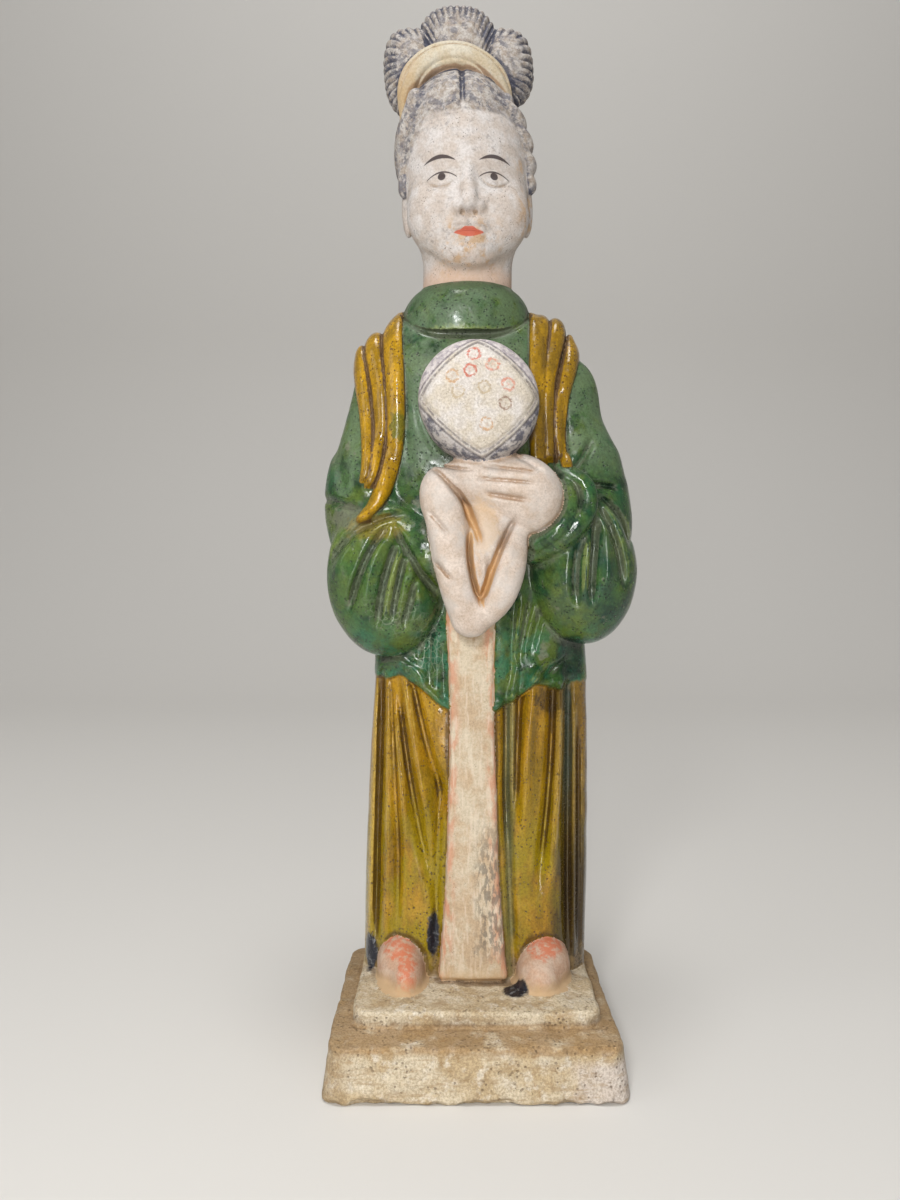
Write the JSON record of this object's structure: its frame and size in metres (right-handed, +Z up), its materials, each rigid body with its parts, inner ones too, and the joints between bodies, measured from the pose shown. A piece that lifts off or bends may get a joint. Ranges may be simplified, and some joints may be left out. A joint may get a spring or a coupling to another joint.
{
  "type": "glazed tomb attendant figure",
  "caption": "Glazed pottery tomb attendant in a long robe, holding a cloth-wrapped bundle and a round disc, on a stepped plinth.",
  "frame": {"origin": "middle of the plinth's flat underside", "axes": "+Z up along the figure, -Y towards the figure's front, +X to the viewer's right when facing the figure"},
  "size_m": [0.0903, 0.0713, 0.303],
  "materials": {
    "glazed_pottery": "Green and amber lead glaze over the clothes, with pale unglazed slip, cold red and blue-black paint on the head, hands, disc, sash and plinth."
  },
  "bodies": {
    "root": {"attendant_figure": "glazed_pottery"}
  },
  "joints": []
}
